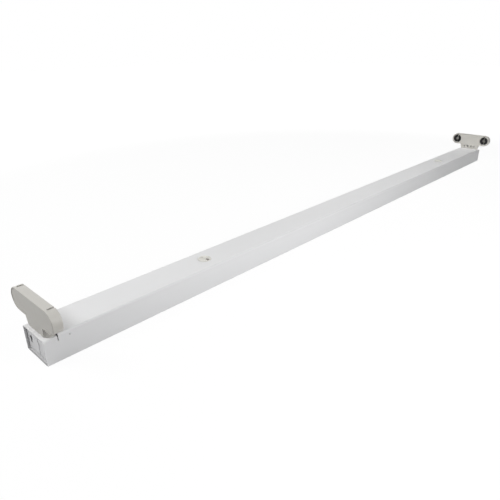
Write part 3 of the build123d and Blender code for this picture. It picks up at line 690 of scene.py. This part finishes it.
class Bench:
    """Hand modelling: each tool acts on one piece and on nothing else."""

    @staticmethod
    def take(piece: Piece) -> None:
        """Select one object alone and make it the active one.

        Args:
            piece: The object.
        """
        bpy.ops.object.select_all(action="DESELECT")
        piece.select_set(True)
        bpy.context.view_layer.objects.active = piece

    @staticmethod
    def claim(name: str) -> Piece:
        """Name the shape that was just added, and make its place and size its mesh's own.

        Args:
            name: The piece's name.

        Returns:
            The piece.
        """
        piece = bpy.context.object
        piece.name = name
        bpy.ops.object.transform_apply(location=True, rotation=True, scale=True)
        return piece

    @classmethod
    def lathe(cls, name: str, axis: Vector, profile: list[Span], steps: int) -> Piece:
        """Turn a profile round a vertical axis.

        Args:
            name: The piece's name.
            axis: A point on the axis.
            profile: Radius and height of each corner, in metres; it ends on the axis or where it began.
            steps: Facets in a full turn.

        Returns:
            The turned piece.
        """
        bpy.ops.object.select_all(action="DESELECT")
        radius, height = profile[0]
        bpy.ops.mesh.primitive_plane_add(size=MM, location=(axis.x + radius, axis.y, height))
        piece = bpy.context.object
        piece.name = name
        bpy.ops.object.mode_set(mode="EDIT")
        bpy.ops.mesh.select_mode(type="VERT")
        bpy.ops.mesh.select_all(action="SELECT")
        bpy.ops.mesh.merge(type="CENTER")
        for before, after in zip(profile, profile[1:]):
            move = (after[0] - before[0], 0.0, after[1] - before[1])
            bpy.ops.mesh.extrude_region_move(TRANSFORM_OT_translate={"value": move})
        bpy.ops.mesh.select_all(action="SELECT")
        bpy.ops.mesh.spin(steps=steps, angle=math.tau, center=(axis.x, axis.y, 0.0), axis=(0.0, 0.0, 1.0))
        bpy.ops.mesh.select_all(action="SELECT")
        bpy.ops.mesh.remove_doubles(threshold=MERGE_LIMIT)
        bpy.ops.mesh.normals_make_consistent(inside=False)
        bpy.ops.object.mode_set(mode="OBJECT")
        bpy.ops.object.transform_apply(location=True, rotation=True, scale=True)
        return piece

    @classmethod
    def block(cls, name: str, low: Vector, high: Vector) -> Piece:
        """Saw a block to its two corners.

        Args:
            name: The piece's name.
            low: Lowest corner.
            high: Highest corner.

        Returns:
            The block, to be shaped further.
        """
        bpy.ops.object.select_all(action="DESELECT")
        bpy.ops.mesh.primitive_cube_add(size=1.0, location=(low + high) / 2, scale=high - low)
        return cls.claim(name)

    @classmethod
    def disc(cls, name: str, centre: Vector, radius: float, depth: float, sides: int) -> Piece:
        """Cut a round disc.

        Args:
            name: The piece's name.
            centre: Its middle.
            radius: Its radius.
            depth: Its height.
            sides: Facets round it.

        Returns:
            The disc, to be shaped further.
        """
        bpy.ops.object.select_all(action="DESELECT")
        bpy.ops.mesh.primitive_cylinder_add(vertices=sides, radius=radius, depth=depth, location=centre)
        return cls.claim(name)

    @classmethod
    def pick(cls, piece: Piece, wanted: Choice) -> None:
        """Go into edit mode with only the wanted corners selected.

        Args:
            piece: The piece to edit.
            wanted: Test of a corner's place.
        """
        cls.take(piece)
        bpy.ops.object.mode_set(mode="EDIT")
        bpy.ops.mesh.select_mode(type="VERT")
        bpy.ops.mesh.select_all(action="DESELECT")
        bpy.ops.object.mode_set(mode="OBJECT")
        for corner in piece.data.vertices:
            corner.select = wanted(corner.co)
        bpy.ops.object.mode_set(mode="EDIT")

    @classmethod
    def shift(cls, piece: Piece, wanted: Choice, move: Point) -> None:
        """Move some corners of a piece.

        Args:
            piece: The piece.
            wanted: Test of a corner's place.
            move: How far they move.
        """
        cls.pick(piece, wanted)
        bpy.ops.transform.translate(value=move)
        bpy.ops.object.mode_set(mode="OBJECT")

    @classmethod
    def draft(cls, piece: Piece, wanted: Choice, scale: Point) -> None:
        """Scale some corners of a piece about their own middle.

        Args:
            piece: The piece.
            wanted: Test of a corner's place.
            scale: Their scale along X, Y and Z.
        """
        cls.pick(piece, wanted)
        places = [corner.co for corner in piece.data.vertices if wanted(corner.co)]
        middle = sum(places, Vector()) / len(places)
        bpy.ops.transform.resize(value=scale, center_override=middle)
        bpy.ops.object.mode_set(mode="OBJECT")

    @classmethod
    def soften(cls, piece: Piece, width: float, segments: int) -> None:
        """Round the sharp edges of a piece.

        Args:
            piece: The piece.
            width: Width of the rounding.
            segments: Facets across it.
        """
        cls.take(piece)
        bevel = piece.modifiers.new("soften", "BEVEL")
        bevel.width = width
        bevel.segments = segments
        bevel.limit_method = "ANGLE"
        bevel.angle_limit = BEVEL_ANGLE
        bpy.ops.object.modifier_apply(modifier=bevel.name)

    @classmethod
    def combine(cls, piece: Piece, other: Piece, joinery: Joinery) -> None:
        """Weld another shape to a piece or cut it out, and take the other shape away.

        Args:
            piece: The piece that stays.
            other: The shape that is used up.
            joinery: Whether it is welded on or cut out.
        """
        cls.take(piece)
        join = piece.modifiers.new("combine", "BOOLEAN")
        join.operation = joinery.value
        join.solver = "EXACT"
        join.object = other
        bpy.ops.object.modifier_apply(modifier=join.name)
        bpy.data.objects.remove(other)

    @classmethod
    def paint(cls, piece: Piece, wanted: Choice, material: Material) -> None:
        """Give the faces between some corners of a piece another material.

        Args:
            piece: The piece.
            wanted: Test of a corner's place.
            material: The faces' material.
        """
        piece.data.materials.append(material)
        cls.pick(piece, wanted)
        bpy.ops.mesh.select_mode(type="FACE")
        piece.active_material_index = len(piece.data.materials) - 1
        bpy.ops.object.material_slot_assign()
        bpy.ops.object.mode_set(mode="OBJECT")

    @classmethod
    def again(cls, piece: Piece, name: str, move: Vector) -> Piece:
        """Copy a finished piece to another place.

        Args:
            piece: The piece to copy.
            name: The copy's name.
            move: From the piece's place to the copy's.

        Returns:
            The copy, with its own mesh.
        """
        cls.take(piece)
        bpy.ops.object.duplicate(linked=False)
        copy = bpy.context.object
        copy.name = name
        bpy.ops.transform.translate(value=move)
        bpy.ops.object.transform_apply(location=True, rotation=False, scale=False)
        return copy

    @classmethod
    def smooth(cls, piece: Piece) -> None:
        """Shade round faces smooth and leave corners sharp.

        Args:
            piece: The piece.
        """
        cls.take(piece)
        bpy.ops.object.shade_smooth_by_angle(angle=SMOOTH_ANGLE)


def stand_for(piece: Piece, node: str, body: str, material: Material) -> None:
    """Dress a modelled piece and let it stand for a node of the frame.

    Args:
        piece: The modelled piece.
        node: The node that it stands for.
        body: The body that it moves with.
        material: Its material.
    """
    piece.data.materials.clear()
    piece.data.materials.append(material)
    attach(piece, body)
    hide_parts(node)
    LOG.info("modelled %s in %s", piece.name, material.name)


@dataclass
class Assembly:
    """One sub-assembly of the frame."""

    nodes: Nodes

    def coat(self, names: list[str], material: Material) -> None:
        """Give nodes of the frame one material.

        Args:
            names: The nodes' names.
            material: Their material.
        """
        for name in names:
            mesh = self.nodes[name].data
            mesh.materials.clear()
            mesh.materials.append(material)
            LOG.info("dressed %s in %s", name, material.name)

    def dress(self) -> None:
        """Model the sub-assembly's own pieces and give all its nodes their finishes."""
        raise NotImplementedError


@dataclass
class Channel(Assembly):
    """Cover, base and end plates of folded steel."""

    seen: PowderCoat = WHITE_COAT
    hidden: PowderCoat = BASE_COAT

    def dress(self) -> None:
        """Coat the folded parts and show the bare metal ones."""
        self.coat(["cover", "end_plate_near", "end_plate_far"], self.seen.make())
        self.coat(["base_plate"], self.hidden.make())
        rivets = ["end_plate_rivets", "keeper_rivets", "bracket_rivets"]
        self.coat(rivets, RIVET_METAL.make())


@dataclass
class Lampholders(Assembly):
    """Both twin lampholders with lids, contacts and rotors."""

    ends: tuple[str, ...] = ("near", "far")
    hands: tuple[str, ...] = ("left", "right")

    def dress(self) -> None:
        """Give mouldings, rotors and contacts their finishes."""
        shells = [f"lampholder_{piece}_{end}" for piece in ("housing", "lid") for end in self.ends]
        rotors = [f"rotor_{end}_{hand}" for end in self.ends for hand in self.hands]
        self.coat(shells, IVORY_MOULDING.make())
        self.coat(rotors, ROTOR_MOULDING.make())
        self.coat([f"lampholder_contacts_{end}" for end in self.ends], TINNED_BRONZE.make())


@dataclass
class Latches(Assembly):
    """Quarter-turn latches, their washers and keepers."""

    ends: tuple[str, ...] = ("near", "far")
    play: float = 0.1 * MM
    plate: float = 0.8 * MM  # thickness of the head under the dish
    crest: float = 1.6 * MM  # height of the rim
    slope: float = 2.4 * MM  # width of the slope outside the rim
    rim: float = 0.8 * MM
    corner: float = 0.35 * MM
    crown: Span = (0.3, 0.2)  # rise of the dish's floor at its middle and further out, in corners
    crown_place: float = 0.6  # where the second rise is, as a share of the dish's radius
    rim_foot: float = 0.5  # roundings of the rim, in corners
    rim_shoulder: float = 0.6
    rim_top: float = 1.3
    edge: float = 0.4
    fall: tuple[Span, ...] = ((0.35, 0.12), (0.68, 0.40), (0.92, 0.74))  # shares of slope gone, crest lost
    bar_width: float = 3.6 * MM
    bar_draft: float = 0.66
    bar_end_draft: float = 0.95
    bar_gap: float = 1.4 * MM
    bar_rounds: int = 3
    pit_width: float = 4.8 * MM
    pit_edge: float = 0.9 * MM
    skin: float = 0.2 * MM  # left under the pit
    shaft: float = 4.0 * MM
    cam_width: float = 6.0 * MM
    cam_thickness: float = 1.8 * MM
    cam_rounds: int = 2
    facets: int = 72

    def build(self) -> list[Piece]:
        """Model the first latch where the frame has it, and copy it to the other end.

        Returns:
            The latches, in the order of the ends.
        """
        low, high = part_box(f"latch_{self.ends[0]}")
        middle = (low + high) / 2
        radius = (high.x - low.x) / 2
        latch = self.turn_head(middle, low.z, radius)
        Bench.combine(latch, self.shape_bar(middle, high.z, radius), Joinery.WELD)
        Bench.combine(latch, self.shape_pit(middle, high.z, radius), Joinery.CUT)
        Bench.combine(latch, self.shape_cam(middle, low.z, (high.y - low.y) / 2), Joinery.WELD)
        Bench.smooth(latch)
        pieces = [latch]
        for end in self.ends[1:]:
            other_low, other_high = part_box(f"latch_{end}")
            move = (other_low + other_high) / 2 - middle
            pieces.append(Bench.again(latch, f"latch_{end}_moulding", move))
        return pieces

    def dish(self, radius: float) -> float:
        """Work out the size of the dish.

        Args:
            radius: Radius of the head.

        Returns:
            The inner radius of the rim.
        """
        return radius - self.slope - self.rim

    def underside(self) -> float:
        """Find where the head lies.

        Returns:
            The height of its underside.
        """
        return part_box("cover")[1].z + self.play

    def turn_head(self, middle: Vector, bottom: float, radius: float) -> Piece:
        """Turn the low dished head, sloping down to its edge, and the shaft under it.

        Args:
            middle: A point on the axis.
            bottom: Height of the shaft's end.
            radius: Radius of the head.

        Returns:
            Head and shaft in one piece.
        """
        under = self.underside()
        floor = under + self.plate
        top = under + self.crest
        dish = self.dish(radius)
        brim = radius - self.slope
        corner = self.corner
        profile = [
            (0.0, floor + self.crown[0] * corner),
            (self.crown_place * dish, floor + self.crown[1] * corner),
            (dish - corner, floor),
            (dish, floor + corner),
            (dish + self.rim_foot * corner, top - self.rim_shoulder * corner),
            (dish + self.rim_top * corner, top),
            (brim, top),
            *[(brim + way * self.slope, top - loss * self.crest) for way, loss in self.fall],
            (radius, under + self.edge * corner),
            (radius - self.edge * corner, under),
            (self.shaft, under),
            (self.shaft, bottom + corner),
            (self.shaft - corner, bottom),
            (0.0, bottom),
        ]
        return Bench.lathe(f"latch_{self.ends[0]}_moulding", middle, profile, self.facets)

    def shape_bar(self, middle: Vector, top: float, radius: float) -> Piece:
        """Shape the finger bar, which stops short of the rim at one end.

        Args:
            middle: A point on the latch's axis.
            top: Height of the bar's top.
            radius: Radius of the head.

        Returns:
            The bar, drafted and rounded.
        """
        floor = self.underside() + self.plate
        half = self.bar_width / 2
        dish = self.dish(radius)
        low = Vector((middle.x - half, middle.y + self.bar_gap - dish, floor - self.corner))
        high = Vector((middle.x + half, middle.y + dish + self.rim / 2, top - self.play))
        bar = Bench.block("latch_bar", low, high)
        Bench.draft(bar, lambda place: place.z > floor, (self.bar_draft, self.bar_end_draft, 1.0))
        Bench.soften(bar, self.corner, self.bar_rounds)
        return bar

    def shape_pit(self, middle: Vector, top: float, radius: float) -> Piece:
        """Shape the screwdriver pit at the foot of the bar.

        Args:
            middle: A point on the latch's axis.
            top: A height above the head.
            radius: Radius of the head.

        Returns:
            The block to cut out.
        """
        half = self.pit_width / 2
        low = Vector((middle.x - half, middle.y + self.pit_edge - radius, self.underside() + self.skin))
        high = Vector((middle.x + half, middle.y + self.bar_gap - self.dish(radius), top))
        pit = Bench.block("latch_pit", low, high)
        Bench.draft(pit, lambda place: place.z < top - self.play, (self.bar_draft, 1.0, 1.0))
        return pit

    def paint_pit_shade(self, piece: Piece, end: str, pit_shade: Material) -> None:
        """Paint shade onto the pit and the bar's end: a dark finish on faces that sit in shade.

        Args:
            piece: The latch.
            end: Which end of the fixture it is at.
            pit_shade: The material of the painted shade.
        """
        low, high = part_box(f"latch_{end}")
        middle = (low + high) / 2
        radius = (high.x - low.x) / 2
        half = self.pit_width / 2 + self.play
        near = middle.y + self.pit_edge - radius - self.play
        far = middle.y + self.bar_gap - self.dish(radius) + 2 * self.corner
        floor = self.underside() + self.skin - self.play

        def in_pit(place: Vector) -> bool:
            """Tell whether a corner of the latch is in the pit or on the bar's end.

            Args:
                place: The corner's place.

            Returns:
                True for a corner that is.
            """
            return abs(place.x - middle.x) < half and near < place.y < far and place.z > floor

        # painted shade: the pit and the bar's end take the dark finish
        Bench.paint(piece, in_pit, pit_shade)

    def shape_cam(self, middle: Vector, bottom: float, reach: float) -> Piece:
        """Stretch a disc into the cam that locks under the keeper.

        Args:
            middle: A point on the latch's axis.
            bottom: Height of the cam's underside.
            reach: From the axis to the cam's end.

        Returns:
            The cam.
        """
        half = self.cam_width / 2
        centre = Vector((middle.x, middle.y, bottom + self.cam_thickness / 2))
        cam = Bench.disc("latch_cam", centre, half, self.cam_thickness, self.facets)
        for way in (1.0, -1.0):
            Bench.shift(cam, lambda place: way * place.y > self.play, (0.0, way * (reach - half), 0.0))
        Bench.soften(cam, self.corner, self.cam_rounds)
        return cam

    def dress(self) -> None:
        """Model the latches and give them and what they lock into their finishes."""
        moulding = LATCH_MOULDING.make()
        pit_shade = PIT_SHADE.make()
        self.coat([f"latch_{end}" for end in self.ends], moulding)
        for end, piece in zip(self.ends, self.build()):
            stand_for(piece, f"latch_{end}", f"latch_{end}", moulding)
            self.paint_pit_shade(piece, end, pit_shade)
        self.coat([f"latch_washer_{end}" for end in self.ends], SPRING_STEEL.make())
        self.coat([f"latch_keeper_{end}" for end in self.ends], ZINC_PLATE.make())


@dataclass
class CableEntry(Assembly):
    """Rubber grommet in the base's dimpled hole."""

    corner: float = 0.45 * MM
    bore: float = 4.5 * MM
    lip: float = 1.8 * MM
    sheet: float = 0.7 * MM
    play: float = 0.1 * MM
    brow: tuple[Span, ...] = ((1.0, 0.0), (0.3, 0.5), (0.8, 1.0))  # upper lip's edge, in and up, in corners
    shoulder: float = 0.4  # roundings of the upper lip and the collar, in corners
    collar: float = 0.3
    facets: int = 96

    def build(self) -> Piece:
        """Turn the grommet with rounded lips.

        Returns:
            The grommet.
        """
        low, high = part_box("cable_grommet")
        middle = (low + high) / 2
        outer = (high.x - low.x) / 2
        hole = outer - self.lip
        groove = low.z + self.lip - self.play
        shelf = groove + self.sheet
        neck = self.bore + self.lip
        corner = self.corner
        profile = [
            (self.bore, low.z + corner),
            (self.bore + corner, low.z),
            (outer - corner, low.z),
            (outer, low.z + corner),
            (outer, groove - corner),
            (outer - corner, groove),
            (hole - self.play, groove),
            (hole - self.play, shelf),
            *[(outer - inward * corner, shelf + up * corner) for inward, up in self.brow],
            (hole, shelf + self.lip - self.shoulder * corner),
            (hole - corner, shelf + self.lip),
            (neck + corner, high.z - corner),
            (neck, high.z - self.collar * corner),
            (neck - corner, high.z),
            (self.bore + corner, high.z),
            (self.bore, high.z - corner),
            (self.bore, low.z + corner),
        ]
        grommet = Bench.lathe("cable_grommet_ring", middle, profile, self.facets)
        Bench.smooth(grommet)
        return grommet

    def dress(self) -> None:
        """Model the grommet in rubber."""
        rubber = GROMMET_RUBBER.make()
        self.coat(["cable_grommet"], rubber)
        stand_for(self.build(), "cable_grommet", "batten", rubber)


@dataclass
class Wiring(Assembly):
    """Terminal block, earth point and leads."""

    metal: BareMetal = ZINC_PLATE

    def dress(self) -> None:
        """Give the wiring its finishes."""
        plated = bpy.data.materials.get(self.metal.name) or self.metal.make()
        self.coat(["terminal_bracket", "terminal_screws", "block_screw", "earth_screw"], plated)
        self.coat(["terminal_block"], BLOCK_MOULDING.make())
        self.coat(["terminal_inserts", "earth_tag"], TERMINAL_BRASS.make())
        self.coat(["wire_clips"], CLIP_MOULDING.make())
        self.coat(["live_lead", "link_lead_near"], BROWN_WIRE.make())
        self.coat(["neutral_lead", "link_lead_far"], BLUE_WIRE.make())
        self.coat(["earth_lead"], EARTH_WIRE.make())


@dataclass(frozen=True)
class Softbox:
    """One soft studio lamp; its size is in metres, its power in watts and its spread in degrees."""

    name: str
    place: Point
    aim: Point
    size: Span
    power: float
    spread: float = 180.0

    def build(self) -> None:
        """Hang the lamp and turn it to its aim."""
        data = bpy.data.lights.new(self.name, "AREA")
        data.shape = "RECTANGLE"
        data.size = self.size[0]
        data.size_y = self.size[1]
        data.energy = self.power
        data.spread = math.radians(self.spread)
        lamp = bpy.data.objects.new(self.name, data)
        bpy.context.scene.collection.objects.link(lamp)
        lamp.location = self.place
        turn = Vector(self.aim) - Vector(self.place)
        lamp.rotation_euler = turn.to_track_quat("-Z", "Y").to_euler()
        LOG.info("hung %s", self.name)


@dataclass
class Studio:
    """White floor, white surround and soft lamps."""

    floor_reach: float = 12.0
    floor_drop: float = 0.3 * MM
    floor_tone: float = 0.5
    floor_rough: float = 0.9
    floor_gloss: float = 0.1
    floor_glow: float = 1.06
    surround: float = 0.1
    shadow_share: float = 0.1
    shadow_fade: Span = (0.8, 1.3)
    softboxes: tuple[Softbox, ...] = (
        Softbox("overhead_near", (-0.9, 0.0, 1.2), (-0.9, 0.0, 0.0), (0.5, 0.8), power=4.1),
        Softbox("overhead_far", (0.18, 0.0, 1.2), (0.18, 0.0, 0.0), (0.4, 0.4), power=0.26, spread=60.0),
        Softbox("overhead_end", (0.6, 0.0, 1.2), (0.6, 0.0, 0.0), (0.1, 0.1), power=0.02, spread=12.0),
        Softbox("front_near", (-0.3, -0.6, 0.3), (-0.3, 0.0, 0.02), (0.3, 0.3), power=2.22),
        Softbox("front_middle", (0.1, -0.75, 0.35), (0.1, 0.0, 0.02), (0.3, 0.3), power=1.42),
        Softbox("near_end", (-1.3, 0.6, 1.1), (-0.6, 0.0, 0.03), (0.5, 0.5), power=9.2),
        Softbox("far_end", (-0.9, -0.1, 0.45), (0.6, 0.0, 0.056), (0.3, 0.3), power=0.08, spread=20.0),
        Softbox("past_far_end", (1.5, 0.2, 0.8), (0.6, 0.0, 0.03), (0.5, 0.5), power=1.0),
        Softbox("behind", (0.0, 1.4, 0.35), (0.0, 0.0, 0.02), (1.5, 0.6), power=3.0),
    )

    def build(self) -> None:
        """Lay the floor, set the surround and hang the lamps."""
        self.lay_floor()
        self.set_surround()
        for softbox in self.softboxes:
            softbox.build()
        bpy.context.scene.view_settings.view_transform = "Standard"

    def lay_floor(self) -> None:
        """Lay a white floor that keeps part of the object's shadow."""
        bpy.ops.mesh.primitive_plane_add(size=self.floor_reach, location=(0.0, 0.0, -self.floor_drop))
        floor = bpy.context.object
        floor.name = "studio_floor"
        sheet = FinishSheet("studio_floor")
        sheet.feed("Base Color", (self.floor_tone, self.floor_tone, self.floor_tone))
        sheet.feed("Roughness", self.floor_rough)
        sheet.feed("Specular IOR Level", self.floor_gloss)
        glow = sheet.add("ShaderNodeEmission", Strength=self.floor_glow)
        distance = sheet.add("ShaderNodeVectorMath", operation="LENGTH")
        sheet.link(sheet.place, distance.inputs[0])
        faded = sheet.ease(distance.outputs["Value"], *self.shadow_fade, (1.0 - self.shadow_share, 1.0))
        mix = sheet.add("ShaderNodeMixShader")
        sheet.link(sheet.math("MULTIPLY", self.seen_by_eye(sheet), faded), mix.inputs["Fac"])
        sheet.link(sheet.shader.outputs["BSDF"], mix.inputs[1])
        sheet.link(glow.outputs["Emission"], mix.inputs[2])
        sheet.link(mix.outputs["Shader"], sheet.tree.nodes["Material Output"].inputs["Surface"])
        floor.data.materials.append(sheet.material)

    def seen_by_eye(self, sheet: NodeSheet) -> Socket:
        """Make a mask of what is seen straight, in a reflection or through something.

        Args:
            sheet: The node tree to add it to.

        Returns:
            The mask's socket.
        """
        path = sheet.add("ShaderNodeLightPath")
        glossy = sheet.math("MAXIMUM", path.outputs["Is Camera Ray"], path.outputs["Is Glossy Ray"])
        return sheet.math("MAXIMUM", glossy, path.outputs["Is Transmission Ray"])

    def set_surround(self) -> None:
        """Make the surround white to look at and gentle as a light."""
        world = bpy.data.worlds.new("studio_surround")
        bpy.context.scene.world = world
        world.use_nodes = True
        sheet = NodeSheet(world.node_tree)
        background = world.node_tree.nodes["Background"]
        sheet.put(background.inputs["Color"], (1.0, 1.0, 1.0))
        sheet.put(background.inputs["Strength"], sheet.span(self.seen_by_eye(sheet), self.surround, 1.0))


@dataclass(frozen=True)
class PhotoCamera:
    """Camera at the photograph's viewing angle."""

    eye: Point = (-0.7560, -0.4461, 0.3031)
    look: Point = (0.6644, 0.6288, -0.4040)
    up: Point = (0.3007, 0.2699, 0.9147)
    lens: float = 33.58
    sensor: float = 36.0
    nearest: float = 0.01

    def build(self) -> None:
        """Place the camera and make it the scene's own."""
        data = bpy.data.cameras.new("photo_camera")
        data.sensor_fit = "HORIZONTAL"
        data.sensor_width = self.sensor
        data.lens = self.lens
        data.clip_start = self.nearest
        camera = bpy.data.objects.new("photo_camera", data)
        bpy.context.scene.collection.objects.link(camera)
        back = -Vector(self.look).normalized()
        right = Vector(self.up).cross(back).normalized()
        up = back.cross(right)
        turn = Matrix((right, up, back)).transposed().to_4x4()
        camera.matrix_world = Matrix.Translation(Vector(self.eye)) @ turn
        bpy.context.scene.camera = camera


def main() -> None:
    """Load the frame, dress it and set up the studio."""
    logging.basicConfig(level=logging.INFO, format="%(name)s: %(message)s")
    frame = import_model()
    bpy.ops.object.select_all(action="DESELECT")
    for assembly in (Channel, Lampholders, Latches, CableEntry, Wiring):
        assembly(frame["nodes"]).dress()
    Studio().build()
    PhotoCamera().build()


if __name__ == "__main__":
    main()
